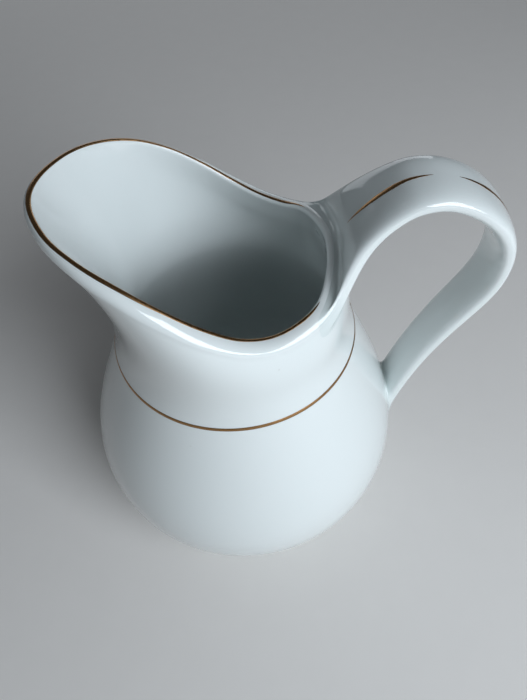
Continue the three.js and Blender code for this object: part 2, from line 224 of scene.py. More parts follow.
def through(stations, x):
    """Smooth curve through (x, y) stations, level at both ends."""
    xs, ys = np.array(stations, float).T
    slope = np.zeros_like(ys)
    slope[1:-1] = (ys[2:] - ys[:-2]) / (xs[2:] - xs[:-2])
    k = np.clip(np.searchsorted(xs, x, side="right") - 1, 0, len(xs) - 2)
    h = xs[k + 1] - xs[k]
    t = np.clip((x - xs[k]) / h, 0, 1)
    return (
        (2 * t**3 - 3 * t**2 + 1) * ys[k]
        + (t**3 - 2 * t**2 + t) * h * slope[k]
        + (3 * t**2 - 2 * t**3) * ys[k + 1]
        + (t**3 - t**2) * h * slope[k + 1]
    )


def upper_belly(sizes):
    """Control points of the curve from the belly's widest part to the shoulder line, as (radius, height)."""
    third = (sizes.shoulder_height - sizes.belly_height) / 3
    return (
        (sizes.belly_radius, sizes.belly_height),
        (sizes.belly_radius, sizes.belly_height + third),
        (sizes.shoulder_radius - sizes.shoulder_slope * third, sizes.shoulder_height - third),
        (sizes.shoulder_radius, sizes.shoulder_height),
    )


class BodySurface:
    """Radius and height of the body along its meridians, for an array of angles from the handle."""

    TUCK_ROWS, BELLY_ROWS, NECK_ROWS, ROLL_ROWS, INNER_LIP_ROWS = 16, 26, 34, 12, 7
    COLUMNS = 240
    INNER_FROM = 0.88  # share of the neck's curve where the inner wall meets the inner lip
    FLOOR_BLEND = 1.6 * MM  # softness of the corner between the inner wall and the floor
    EDGE_DROP, EDGE_TURN = 1.25 * MM, 0.55 * MM  # the lip's inner edge: below the crest, and its turn
    WALL_ROWS_NEAR_LIP = 9  # rows of the inner wall that count as the lip

    def __init__(self, body, foot):
        self.body = body
        self.foot = foot
        self.power = body.tuck_power
        self.tuck_drop = (body.belly_height - foot.height) / self.bow(foot.radius / body.belly_radius)

    def bow(self, x):
        return (1 - x**self.power) ** (1 / self.power)

    def tuck_height(self, radius):
        return self.body.belly_height - self.tuck_drop * self.bow(radius / self.body.belly_radius)

    def radius_at(self, height):
        """Outer radius between the belly and the shoulder."""
        t = np.linspace(0, 1, 400)
        radius, z = bezier(upper_belly(self.body), t)
        return float(np.interp(height, z, radius))

    def mouth(self, degrees):
        away = np.abs((degrees + 540) % 360 - 180)
        spout = smooth(SPOUT_FROM, SPOUT_FULL, away)
        radius = through([(a, r) for a, r, _ in MOUTH], away) * MM
        height = through([(a, z) for a, _, z in MOUTH], away) * MM + self.body.shoulder_height
        return radius, height, spout

    def outer(self, degrees):
        """Rows from the foot joint to the lip's widest roll, with the share of the neck each has climbed."""
        body, foot = self.body, self.foot
        level = np.ones_like(degrees)
        inside = foot.radius - foot.width
        rows = [(inside * level, self.tuck_height(inside) * level, 0.0)]
        start = self.bow(foot.radius / body.belly_radius)
        for i in range(self.TUCK_ROWS):
            u = start * math.cos(math.pi / 2 * i / self.TUCK_ROWS)
            radius = body.belly_radius * self.bow(u)
            rows.append((radius * level, (body.belly_height - self.tuck_drop * u) * level, 0.0))
        for i in range(self.BELLY_ROWS):
            radius, z = bezier(upper_belly(body), i / self.BELLY_ROWS)
            rows.append((radius * level, z * level, 0.0))
        crest_r, crest_z, spout = self.mouth(degrees)
        lip_r = crest_r + mix(body.side_roll, body.spout_roll, spout)
        lip_z = crest_z - mix(body.side_drop, body.spout_drop, spout)
        hold = mix(9, 9.5, spout) * MM  # rise over which the neck keeps the shoulder's slope
        reach = mix(9, 16.3, spout) * MM  # rise over which it takes the lip's
        flare = mix(-0.32, 0.55, spout)
        neck = (
            (body.shoulder_radius * level, body.shoulder_height * level),
            (body.shoulder_radius + body.shoulder_slope * hold, body.shoulder_height + hold),
            (lip_r - flare * reach, lip_z - reach),
            (lip_r, lip_z),
        )
        for i in range(self.NECK_ROWS + 1):
            t = i / self.NECK_ROWS
            rows.append((*bezier(neck, t), t))
        return rows

    def inner_wall(self, rows, degrees):
        """The outer rows set in by the wall's thickness, from the neck down to the floor."""
        body = self.body
        roll = mix(body.side_roll, body.spout_roll, self.mouth(degrees)[2]) + body.lip_inner
        floor = body.base_height + body.floor
        r, z = (np.array([row[k] for row in rows]) for k in (0, 1))
        dr, dz = np.gradient(r, axis=0), np.gradient(z, axis=0)
        size = np.hypot(dr, dz)
        inner = []
        for i in range(len(rows) - 1, 0, -1):
            climbed = rows[i][2]
            if climbed > self.INNER_FROM:
                continue
            wall = mix(body.wall, roll, smooth(0.25, 1, climbed))
            inner_r = r[i] - dz[i] / size[i] * wall
            inner_z = z[i] + dr[i] / size[i] * wall
            inner_z = floor + soft_floor(inner_z - floor, self.FLOOR_BLEND)
            inner.append((inner_r, inner_z))
        return inner

    def lip(self, degrees, wall):
        """Rows up the lip's outer roll, over its crest and down to the inner wall."""
        body = self.body
        crest_r, crest_z, spout = self.mouth(degrees)
        out = mix(body.side_roll, body.spout_roll, spout)
        down = mix(body.side_drop, body.spout_drop, spout)
        roll = (
            (crest_r + out, crest_z - down),
            (crest_r + out * 1.02, crest_z - down * 0.42),
            (crest_r + out * 0.62, crest_z),
            (crest_r, crest_z),
        )
        up_r, up_z = wall[0][0] - wall[1][0], wall[0][1] - wall[1][1]
        size = np.hypot(up_r, up_z)
        up_r, up_z = up_r / size, up_z / size
        edge = (crest_r - body.lip_inner, crest_z - self.EDGE_DROP)
        over = (
            (crest_r, crest_z),
            (crest_r - 0.45 * MM, crest_z),
            (edge[0] + up_r * self.EDGE_TURN, edge[1] + up_z * self.EDGE_TURN),
            edge,
        )
        third = np.hypot(wall[0][0] - edge[0], wall[0][1] - edge[1]) / 3
        down_in = (
            edge,
            (edge[0] - up_r * third, edge[1] - up_z * third),
            (wall[0][0] + up_r * third, wall[0][1] + up_z * third),
            wall[0],
        )
        rows = [bezier(roll, i / self.ROLL_ROWS) for i in range(1, self.ROLL_ROWS + 1)]
        rows += [bezier(over, i / self.INNER_LIP_ROWS) for i in range(1, self.INNER_LIP_ROWS + 1)]
        rows += [bezier(down_in, i / 4) for i in range(1, 4)]
        return rows

    def skin(self, degrees):
        """All rows from the foot joint, over the lip and down to the inner floor, as arrays of r and z."""
        outer = self.outer(degrees)
        wall = self.inner_wall(outer, degrees)
        rows = [row[:2] for row in outer] + self.lip(degrees, wall) + wall
        return np.array([r for r, _ in rows]), np.array([z for _, z in rows])

    def crest_row(self):
        """Number of the row that runs along the lip's crest."""
        return len(self.outer(np.zeros(1))) + self.ROLL_ROWS - 1

    def from_crest(self, degrees, depth):
        """Points on the outside at lengths measured down the meridian from the lip's crest."""
        r, z = self.skin(degrees)
        crest = self.crest_row()
        r, z = r[crest::-1], z[crest::-1]
        run = run_along(r, z)
        found = [
            (np.interp(depth[j], run[:, j], r[:, j]), np.interp(depth[j], run[:, j], z[:, j]))
            for j in range(len(degrees))
        ]
        at_r, at_z = np.array(found).T
        return around(at_r, np.radians(degrees), at_z)

    def nearest(self, points):
        """Distance from each point to the body's outside and lip, positive outside, and the normal there."""
        x, y, z = points[:, 0] - AXIS_X, points[:, 1], points[:, 2]
        r = np.hypot(x, y)
        degrees = np.degrees(np.arctan2(y, x))
        rows_r, rows_z = self.skin(degrees)
        last = self.crest_row() + self.INNER_LIP_ROWS + self.WALL_ROWS_NEAR_LIP
        rows_r, rows_z = rows_r[:last], rows_z[:last]
        ax, az = rows_r[:-1], rows_z[:-1]
        bx, bz = rows_r[1:] - ax, rows_z[1:] - az
        t = np.clip(((r - ax) * bx + (z - az) * bz) / (bx * bx + bz * bz + 1e-18), 0, 1)
        off_r, off_z = r - ax - t * bx, z - az - t * bz
        far = np.hypot(off_r, off_z)
        k = np.argmin(far, axis=0)
        pick = (k, np.arange(len(r)))
        size = np.hypot(bx[pick], bz[pick])
        n_r, n_z = bz[pick] / size, -bx[pick] / size
        side = np.sign(off_r[pick] * n_r + off_z[pick] * n_z)
        away = far[pick] > 0.02 * MM
        n_r = np.where(away, side * off_r[pick] / (far[pick] + 1e-12), n_r)
        n_z = np.where(away, side * off_z[pick] / (far[pick] + 1e-12), n_z)
        turn = np.radians(degrees)
        normal = np.stack([n_r * np.cos(turn), n_r * np.sin(turn), n_z], axis=-1)
        return far[pick] * side, normal


def soft_floor(x, blend):
    """x where it is well above zero, easing to zero below."""
    return 0.5 * (x + np.sqrt(x * x + blend * blend))


class Strap:
    """The handle's strap: its path in the jug's plane, its section and the slip smoothed round both ends."""

    ROOT_IN, ROOT_DROP, ROOT_ANGLE = 0.5 * MM, 3.1 * MM, 68
    TAIL_SINK, TAIL_ANGLE = 2 * MM, 80
    ROOT_PULL, TAIL_PULL = 9.2 * MM, 42 * MM
    CROWN_PULLS, BACK_PULLS = (9.1 * MM, 7.4 * MM), (13.9 * MM, 14.4 * MM)
    RUN_ROWS, EASE_ROWS, EASE_PASSES = 28, 16, 40
    LIP_PULL, STRAP_PULL = 0.36, 0.34  # pull of the root's curve at each end, as shares of its reach
    FAN_POWER = 1.8  # how sharply the root's lines turn from round the lip to down it
    ROWS, COLUMNS, SINK = 190, 128, 0.7 * MM  # lines of its skin, and how deep its two ends go in the wall
    HALF_WIDTHS = (15.5, 10.4, 8.1, 8.1, 6.8, 6.1, 6.4)  # in mm, at stations from the root to the tail's end

    def __init__(self, sizes, surface):
        self.sizes = sizes
        self.surface = surface
        crest_r, crest_z, _ = (float(v[0]) for v in surface.mouth(np.zeros(1)))
        body = surface.body
        tail_z = body.belly_height + sizes.tail_rise
        root = (crest_r + self.ROOT_IN, crest_z - self.ROOT_DROP)
        crown = (crest_r + sizes.crown_out, crest_z + sizes.crown_rise)
        back = (body.belly_radius + sizes.back_out, body.shoulder_height + sizes.back_rise)
        tail = (surface.radius_at(tail_z) - self.TAIL_SINK, tail_z)
        legs = (
            (root, (self.ROOT_ANGLE, self.ROOT_PULL), crown, (180, self.CROWN_PULLS[0])),
            (crown, (0, self.CROWN_PULLS[1]), back, (90, self.BACK_PULLS[0])),
            (back, (-90, self.BACK_PULLS[1]), tail, (self.TAIL_ANGLE, self.TAIL_PULL)),
        )
        t = np.linspace(0, 1, 240)
        curves = [bezier((a, along(a, *leave), along(b, *arrive), b), t) for a, leave, b, arrive in legs]
        xs, zs = (np.concatenate([curve[k] for curve in curves]) for k in (0, 1))
        step = np.hypot(np.diff(xs), np.diff(zs))
        keep = np.concatenate([[True], step > 1e-9])
        self.x, self.z = xs[keep], zs[keep]
        self.at = run_along(self.x, self.z)
        self.length = self.at[-1]
        far = [np.hypot(self.x - x, self.z - z) for x, z in (crown, back)]
        to_crown, to_back = (self.at[np.argmin(distance)] for distance in far)
        marks = (0, to_crown * 0.42, to_crown, (to_crown + to_back) / 2, to_back)
        marks += ((to_back + self.length) / 2, self.length)
        self.widths = [(s, w * MM) for s, w in zip(marks, self.HALF_WIDTHS)]

    def centre(self, s):
        """Centre and direction of the strap at distances along it; it runs on straight past both ends."""
        inside = np.clip(s, 0, self.length)
        reach = 0.6 * MM
        low, high = np.clip(inside - reach, 0, self.length), np.clip(inside + reach, 0, self.length)
        dx = np.interp(high, self.at, self.x) - np.interp(low, self.at, self.x)
        dz = np.interp(high, self.at, self.z) - np.interp(low, self.at, self.z)
        size = np.hypot(dx, dz)
        dx, dz = dx / size, dz / size
        x = np.interp(inside, self.at, self.x) + dx * (s - inside)
        z = np.interp(inside, self.at, self.z) + dz * (s - inside)
        return x, z, dx, dz

    def bare(self, s, turn):
        """The strap's skin without its joints; turn 0 is the +Y edge, a quarter turn the outer face."""
        sizes = self.sizes
        x, z, dx, dz = self.centre(s)
        half = through(self.widths, s)
        thick = sizes.thickness / 2 + sizes.root_thicken / 2 * (1 - smooth(0, 18 * MM, s))
        dish = sizes.root_dish * (1 - smooth(2 * MM, 24 * MM, s))
        power = 2 / sizes.section_power
        c, w = np.cos(turn), np.sin(turn)
        y = half * signed_power(c, power)
        n = thick * signed_power(w, power)
        n = n - dish * (1 - (y / half) ** 2) * np.clip(w, 0, 1)
        return np.stack([AXIS_X + x - dz * n, y, z + dx * n], axis=-1)

    def landing(self, turn):
        """Where each line of the skin runs out on the lip, its direction there and the lip's normal."""
        sizes = self.sizes
        power = 2 / sizes.root_power
        c, w = np.cos(turn), np.sin(turn)
        degrees = math.degrees(sizes.root_spread) * signed_power(c, power)
        middle, half = (sizes.root_top + sizes.root_under) / 2, (sizes.root_under - sizes.root_top) / 2
        depth = middle - half * signed_power(w, power)
        spot = self.surface.from_crest
        at = spot(degrees, depth)
        round_lip = unit(spot(degrees + 0.5, depth) - spot(degrees - 0.5, depth))
        down_lip = unit(spot(degrees, depth + 0.1 * MM) - spot(degrees, depth - 0.1 * MM))
        normal = unit(np.cross(down_lip, round_lip))
        across, up = (signed_power(v, self.FAN_POWER) for v in (c, w))
        heading = unit(round_lip * across[:, None] - down_lip * up[:, None])
        heading = unit(heading - normal * (sizes.root_lift * np.clip(w, 0, 1) ** 4)[:, None])
        return at, heading, normal

    def skin(self, rows, columns):
        """The finished skin as a grid of points, row 0 on the lip and the last row on the belly."""
        sizes = self.sizes
        turns = np.arange(columns) * 2 * math.pi / columns
        turns -= 0.2 * np.sin(4 * turns)  # closer lines along the edges and the middles of both faces
        edge = np.abs(np.cos(turns)) ** 2
        face = np.where(np.sin(turns) > 0, sizes.top_run, sizes.under_run)
        root = mix(face, sizes.side_run, edge)
        tail = self.length - self.meets_tail(turns)
        w = np.linspace(0, 1, rows)
        s = root[None] + (tail - root)[None] * eased_end(w)[:, None]
        turn = np.broadcast_to(turns[None], s.shape)
        points = self.bare(s, turn)
        gap, body_normal = self.surface.nearest(points.reshape(-1, 3))
        gap, body_normal = gap.reshape(s.shape), body_normal.reshape(points.shape)
        gap[-1] = 0
        share = np.clip(1 - gap / sizes.tail_fillet, 0, 1) * (s > self.length / 2)
        spread_out = sizes.tail_fillet * (1 - np.sqrt(1 - share**2))
        normal = grid_normals(points)
        sideways = unit(normal - body_normal * (normal * body_normal).sum(-1, keepdims=True))
        strap = points + sideways * spread_out[..., None]
        landed, heading, lip_normal = self.landing(turns)
        backward = unit(strap[0] - self.bare(root + 0.3 * MM, turns))
        reach = np.linalg.norm(strap[0] - landed, axis=-1, keepdims=True)
        away = landed - heading * reach * self.LIP_PULL
        leg = (landed, away, strap[0] + backward * reach * self.STRAP_PULL, strap[0])
        run = [sum_bezier(leg, t) for t in np.linspace(0, 1, self.RUN_ROWS + 1)[:-1]]
        grid = np.concatenate([np.array(run), strap])
        ease = np.clip(1 - np.abs(np.arange(len(grid)) - self.RUN_ROWS) / self.EASE_ROWS, 0, 1)
        for _ in range(self.EASE_PASSES):  # sponges away the change of curve where the run meets the strap
            between = (grid[:-2] + grid[2:]) / 2
            grid[1:-1] += (between - grid[1:-1]) * 0.5 * smooth(0, 0.5, ease)[1:-1, None, None]
        return grid, lip_normal, body_normal[-1]

    def meets_tail(self, turns):
        """How far back from the strap's lower end each line of its skin comes out of the belly."""
        samples = np.linspace(0, 34 * MM, 300)
        s, turn = np.meshgrid(self.length - samples, turns, indexing="ij")
        gap, _ = self.surface.nearest(self.bare(s, turn).reshape(-1, 3))
        gap = gap.reshape(s.shape)
        found = []
        for j in range(len(turns)):
            k = max(int(np.argmax(gap[:, j] > 0)), 1)
            a, b = gap[k - 1, j], gap[k, j]
            t = np.clip(a / (a - b), 0, 1) if a < 0 < b else 0.0
            found.append(mix(samples[k - 1], samples[k], t))
        return np.array(found)


def along(point, degrees, distance):
    turn = math.radians(degrees)
    return point[0] + math.cos(turn) * distance, point[1] + math.sin(turn) * distance


def unit(vectors):
    return vectors / (np.linalg.norm(vectors, axis=-1, keepdims=True) + 1e-12)


def eased_end(w):
    """0 to 1 with even steps that close up toward the end."""
    return 1 - (0.03 * (1 - w) + 0.97 * (1 - w) ** 2 * (1 + 0.5 * w))


def grid_normals(points):
    """Unit normals of a grid that closes on itself along its second axis, pointing out."""
    down = np.gradient(points, axis=0)
    across = np.roll(points, -1, axis=1) - np.roll(points, 1, axis=1)
    normal = unit(np.cross(across, down))
    outward = points - points.mean(axis=1, keepdims=True)
    if (normal * outward).sum() < 0:
        normal = -normal
    return normal


# ------------------------------------------------------------------ meshes
def mesh_object(name, vertices, faces, attributes=None):
    """A smooth object at the origin; attributes maps a name to one value for each vertex."""
    mesh = bpy.data.meshes.new(name)
    mesh.from_pydata([tuple(map(float, v)) for v in vertices], [], faces)
    for key, values in (attributes or {}).items():
        layer = mesh.attributes.new(key, "FLOAT", "POINT")
        layer.data.foreach_set("value", np.asarray(values, dtype=np.float32))
    mesh.validate()
    made = bmesh.new()
    made.from_mesh(mesh)
    bmesh.ops.recalc_face_normals(made, faces=made.faces)
    made.to_mesh(mesh)
    made.free()
    mesh.shade_smooth()
    piece = bpy.data.objects.new(name, mesh)
    bpy.context.scene.collection.objects.link(piece)
    return piece


def skin_faces(rows, columns):
    """Quads of a grid closed along its columns, with a fan at each end to the two vertices after the grid."""
    faces = []
    for i in range(rows - 1):
        for j in range(columns):
            k = (j + 1) % columns
            faces.append((i * columns + j, i * columns + k, (i + 1) * columns + k, (i + 1) * columns + j))
    first, last = rows * columns, rows * columns + 1
    for j in range(columns):
        k = (j + 1) % columns
        faces.append((first, k, j))
        faces.append((last, (rows - 1) * columns + j, (rows - 1) * columns + k))
    return faces


def part_shading(piece, columns, rows):
    """Keeps the smooth shading of a grid's skin apart on each side of the given rows."""
    for edge in piece.data.edges:
        ends = [v // columns for v in edge.vertices]
        if ends[0] == ends[1] and ends[0] in rows:
            edge.use_edge_sharp = True


def finished(piece, node_names, material):
    """Gives a piece its material, hangs it under the root and hides the nodes it stands for."""
    piece.data.materials.clear()
    piece.data.materials.append(material)
    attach(piece, "root")
    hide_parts(*node_names)


# ------------------------------------------------------------------ node trees as expressions
class Socket:
    """An output of a node that can be used in arithmetic."""

    def __init__(self, tree, output):
        self.tree = tree
        self.output = output

    def math(self, operation, *others):
        inputs = dict(enumerate((self, *others)))
        return self.tree.node("ShaderNodeMath", {"operation": operation}, inputs)

    def __add__(self, other):
        return self.math("ADD", other)

    __radd__ = __add__

    def __mul__(self, other):
        return self.math("MULTIPLY", other)

    __rmul__ = __mul__

    def __sub__(self, other):
        return self.math("SUBTRACT", other)

    def __rsub__(self, other):
        return self.tree.node("ShaderNodeMath", {"operation": "SUBTRACT"}, {0: other, 1: self})

    def __truediv__(self, other):
        return self.math("DIVIDE", other)

    def __pow__(self, other):
        return self.math("POWER", other)

    def clamped(self):
        return self.tree.node("ShaderNodeMath", {"operation": "ADD", "use_clamp": True}, {0: self, 1: 0.0})

    def also(self, name):
        """Another output of the same node."""
        return Socket(self.tree, self.output.node.outputs[name])


class Tree:
    """Builds a shader or geometry tree."""

    def __init__(self, tree):
        self.tree = tree

    def node(self, kind, settings=None, inputs=None, out=0):
        """Adds a node: its settings first, then the values or links of its sockets."""
        made = self.tree.nodes.new(kind)
        for key, value in (settings or {}).items():
            if key == "stops":
                set_stops(made.color_ramp, value)
            else:
                setattr(made, key, value)
        for key, value in (inputs or {}).items():
            self.feed(made.inputs[key], value)
        return Socket(self, made.outputs[out]) if made.outputs else made

    def feed(self, socket, value):
        if isinstance(value, Socket):
            self.tree.links.new(value.output, socket)
        else:
            socket.default_value = value

    def vector(self, operation, *values):
        return self.node("ShaderNodeVectorMath", {"operation": operation}, dict(enumerate(values)))

    def scaled(self, vector, by):
        return self.node("ShaderNodeVectorMath", {"operation": "SCALE"}, {0: vector, "Scale": by})

    def blend(self, factor, a, b):
        """Mixes two colours."""
        settings = {"data_type": "RGBA", "blend_type": "MIX"}
        return self.node("ShaderNodeMix", settings, {0: factor, 6: a, 7: b}, 2)

    def noise(self, vector, scale, detail, roughness, seed=0.0):
        inputs = {"Vector": vector, "Scale": scale, "Detail": detail, "Roughness": roughness, "W": seed}
        return self.node("ShaderNodeTexNoise", {"noise_dimensions": "4D"}, inputs)

    def ramp(self, factor, *stops):
        return self.node("ShaderNodeValToRGB", {"stops": stops}, {0: factor})


def set_stops(ramp, stops):
    while len(ramp.elements) < len(stops):
        ramp.elements.new(0.5)
    for element, (at, value) in zip(ramp.elements, stops):
        element.position = at
        element.color = (value, value, value, 1)


def shader(name):
    """A new material and its empty tree."""
    material = bpy.data.materials.new(name)
    material.use_nodes = True
    material.node_tree.nodes.clear()
    return material, Tree(material.node_tree)


def surface(tree, inputs):
    """Ends a material's tree with one Principled surface."""
    bsdf = tree.node("ShaderNodeBsdfPrincipled", None, inputs)
    tree.node("ShaderNodeOutputMaterial", None, {"Surface": bsdf})


def rgba(colour_value):
    return (*colour_value, 1.0)


# ------------------------------------------------------------------ finishes
def glaze_material(looks):
    """Clear glaze over white porcelain: bright gloss, a faint waver of the skin, a greener tint where it
    pools, darkened there as painted shade in the hollows.
    """
    material, tree = shader("glazed white porcelain")
    place = tree.node("ShaderNodeTexCoord", out="Object")
    pool = tree.node("ShaderNodeAttribute", {"attribute_name": "pool"}, out="Fac")
    cloud = tree.noise(place, 38, 3, 0.55)
    drift = tree.noise(place, 9, 2, 0.5, 3.1)
    # Greener, darker glaze from the pool attribute: pooling tint and painted shade in hollows and joints
    tint = (pool * 0.8 + (cloud - 0.5) * 0.12 + (drift - 0.5) * 0.10).clamped()
    base = tree.blend(tint, rgba(looks.glaze), rgba(looks.pooled_and_shaded))
    pits = tree.node(
        "ShaderNodeTexVoronoi", {"feature": "F1"}, {"Vector": place, "Scale": 150.0, "Randomness": 1.0}
    )
    rare = tree.noise(place, 60, 0, 0.5, 8.7)
    pinhole = tree.ramp(pits, (0.0, 1.0), (0.055, 0.0)) * tree.ramp(rare, (0.62, 0.0), (0.66, 1.0))
    base = tree.blend(pinhole * 0.35, base, (0.30, 0.27, 0.23, 1))
    wave = tree.noise(place, 55, 2, 0.45, 1.3) + tree.noise(place, 190, 1, 0.5, 5.2) * 0.25
    bump = tree.node("ShaderNodeBump", None, {"Strength": 0.25, "Distance": 0.00012, "Height": wave})
    rough = looks.gloss + (cloud - 0.5) * 0.05 + pinhole * 0.2
    surface(
        tree,
        {
            "Base Color": base,
            "Roughness": rough,
            "IOR": 1.52,
            "Coat Weight": 0.35,
            "Coat Roughness": 0.04,
            "Subsurface Weight": 0.12,
            "Subsurface Radius": (0.9, 1.0, 1.0),
            "Subsurface Scale": 0.002,
            "Normal": bump,
        },
    )
    return material


def foot_material(looks, edge_height):
    """Glaze on the ring's sides, wiped off its standing face to leave the bare, slightly grey clay."""
    material, tree = shader("wiped porcelain foot")
    place = tree.node("ShaderNodeTexCoord", out="Object")
    height = tree.node("ShaderNodeSeparateXYZ", None, {0: place}, 2)
    ragged = tree.noise(place, 260, 2, 0.6) * 0.0005
    glazed = ((height + ragged - edge_height) / 0.00035).clamped()
    grain = tree.noise(place, 2600, 3, 0.7)
    speck = tree.noise(place, 420, 2, 0.6, 4.0)
    clay = tree.blend((speck * 1.4 - 0.3).clamped(), rgba(looks.clay), (0.60, 0.565, 0.50, 1))
    base = tree.blend(glazed, clay, rgba(looks.glaze))
    rough = (1 - glazed) * (0.72 + 0.12 * grain) + glazed * looks.gloss
    bump = tree.node(
        "ShaderNodeBump", None, {"Strength": 0.5, "Distance": 0.00005, "Height": grain * (1 - glazed)}
    )
    surface(tree, {"Base Color": base, "Roughness": rough, "IOR": 1.5, "Normal": bump})
    return material


def gold_material(looks):
    """Burnished gold laid by brush, its colour darkened as a painted reflection of dark surroundings:
    drawn-out streaks, thin brown edges and a few worn spots.
    """
    material, tree = shader("burnished gold line")
    place = tree.node("ShaderNodeTexCoord", out="Object")
    side = tree.node("ShaderNodeAttribute", {"attribute_name": "across"}, out="Fac")
    flow = tree.node("ShaderNodeAttribute", {"attribute_name": "along"}, out="Fac")
    strip = tree.node("ShaderNodeCombineXYZ", None, {0: side * 3.0, 1: flow * 60.0, 2: 0.0})
    streak = tree.noise(strip, 2.2, 3, 0.6)
    patch = tree.noise(place, 320, 2, 0.6, 2.0)
    edge = (side * side) ** 2.0
    thin = (edge * 0.55 + (streak - 0.45) * 0.9 + (patch - 0.5) * 0.7).clamped()
    base = tree.blend(thin, rgba(looks.gold), rgba(looks.worn_gold))
    rough = 0.2 + thin * 0.22 + patch * 0.08
    bump = tree.node("ShaderNodeBump", None, {"Strength": 0.3, "Distance": 0.00003, "Height": streak})
    surface(tree, {"Base Color": base, "Metallic": 1.0, "Roughness": rough, "Normal": bump})
    return material


# ------------------------------------------------------------------ geometry nodes
def geometry_tree(name, inputs):
    """A tree with named inputs after its geometry: name, kind of socket and default."""
    group = bpy.data.node_groups.new(name, "GeometryNodeTree")
    group.interface.new_socket("Geometry", in_out="INPUT", socket_type="NodeSocketGeometry")
    for label, kind, default in inputs:
        socket = group.interface.new_socket(label, in_out="INPUT", socket_type="NodeSocket" + kind)
        if default is not None:
            socket.default_value = default
    group.interface.new_socket("Geometry", in_out="OUTPUT", socket_type="NodeSocketGeometry")
    tree = Tree(group)
    given = tree.node("NodeGroupInput")
    return group, tree, given


def end_tree(tree, given, shape):
    """Makes a tree's shape real, gives it the tree's material and hands it out."""
    real = tree.node("GeometryNodeRealizeInstances", None, {"Geometry": shape})
    inputs = {"Geometry": real, "Material": given.also("Material")}
    tree.node("NodeGroupOutput", None, {0: tree.node("GeometryNodeSetMaterial", None, inputs)})


def baked(piece, group, values):
    """Runs a tree on an object with its inputs set, and keeps the result as the object's own plain mesh."""
    modifier = piece.modifiers.new(group.name, "NODES")
    modifier.node_group = group
    for item in group.interface.items_tree:
        if item.item_type == "SOCKET" and item.in_out == "INPUT" and item.name in values:
            modifier[item.identifier] = values[item.name]
    seen = piece.evaluated_get(bpy.context.evaluated_depsgraph_get())
    mesh = bpy.data.meshes.new_from_object(seen)
    piece.modifiers.clear()
    piece.data = mesh
    mesh.name = piece.name
    mesh.shade_smooth()


def line_tree():
    """A painted line: a strip laid along a guide, pressed onto a surface, domed and drawn out at its ends."""
    inputs = (
        ("Surface", "Object", None),
        ("Width", "Float", 0.001),
        ("Thickness", "Float", 0.0001),
        ("Taper", "Float", 0.1),
        ("Swell", "Float", 0.0),
        ("Waver", "Float", 0.1),
        ("Seed", "Int", 0),
        ("Steps", "Int", 400),
        ("Material", "Material", None),
    )
    group, tree, given = geometry_tree("painted line", inputs)
    guide = tree.node("GeometryNodeMeshToCurve", None, {"Mesh": given})
    space = {"transform_space": "RELATIVE"}
    target = tree.node("GeometryNodeObjectInfo", space, {"Object": given.also("Surface")}, "Geometry")
    inputs = {"Size X": 2.0, "Size Y": 1.0, "Vertices X": 9, "Vertices Y": given.also("Steps")}
    kept = tree.node("GeometryNodeMeshGrid", None, inputs)
    spot = tree.node("GeometryNodeInputPosition")
    side = tree.node("ShaderNodeSeparateXYZ", None, {0: spot}, 0)
    flow = side.also("Y") + 0.5
    for name, value in (("across", side), ("along", flow)):
        inputs = {"Geometry": kept, "Name": name, "Value": value}
        settings = {"data_type": "FLOAT", "domain": "POINT"}
        kept = tree.node("GeometryNodeStoreNamedAttribute", settings, inputs)
    sample = tree.node(
        "GeometryNodeSampleCurve",
        {"mode": "FACTOR", "use_all_curves": True},
        {"Curves": guide, "Factor": flow.clamped()},
        "Position",
    )
    heading = sample.also("Tangent")

    def on_surface(value, at):
        inputs = {"Mesh": target, "Value": value, "Sample Position": at}
        return tree.node("GeometryNodeSampleNearestSurface", {"data_type": "FLOAT_VECTOR"}, inputs)

    normal_field = tree.node("GeometryNodeInputNormal")
    facing = on_surface(normal_field, sample)
    sideways = tree.vector("NORMALIZE", tree.vector("CROSS_PRODUCT", heading, facing))
    spot_in_hand = tree.node("ShaderNodeCombineXYZ", None, {0: flow * 14.0, 1: given.also("Seed") * 7.3})
    inputs = {"Vector": spot_in_hand, "Scale": 1.0, "Detail": 1.0}
    hand = tree.node("ShaderNodeTexNoise", {"noise_dimensions": "2D"}, inputs)
    taper = given.also("Taper")
    ends = (flow / taper).clamped() * ((1 - flow) / taper).clamped()
    settings = {"data_type": "FLOAT", "operation": "LESS_THAN"}
    no_taper = tree.node("FunctionNodeCompare", settings, {0: taper, 1: 0.001})
    ends = (ends**0.7).math("MAXIMUM", no_taper)
    off_middle = (flow - 0.5) / SWELL_REACH
    swell = 1 + (1 - off_middle * off_middle).clamped() * given.also("Swell")
    width = ends * (1 + (hand - 0.5) * 2.0 * given.also("Waver")) * given.also("Width") * swell * 0.5
    laid = tree.vector("ADD", sample, tree.scaled(sideways, side * width))
    pressed = on_surface(spot, laid)
    upward = on_surface(normal_field, laid)
    dome = (1 - side * side).math("MAXIMUM", 0.0) * ends * given.also("Thickness")

    def shell(height):
        place = tree.vector("ADD", pressed, tree.scaled(upward, height))
        return tree.node("GeometryNodeSetPosition", None, {"Geometry": kept, "Position": place})

    clear = 0.004 * MM
    top = shell(dome + clear)
    under = tree.node("GeometryNodeFlipFaces", None, {"Mesh": shell(clear - dome)})
    both = tree.node("GeometryNodeJoinGeometry")
    for face in (top, under):
        tree.feed(both.output.node.inputs[0], face)
    closed = tree.node("GeometryNodeMergeByDistance", None, {"Geometry": both, "Distance": 0.0000005})
    end_tree(tree, given, closed)
    return group


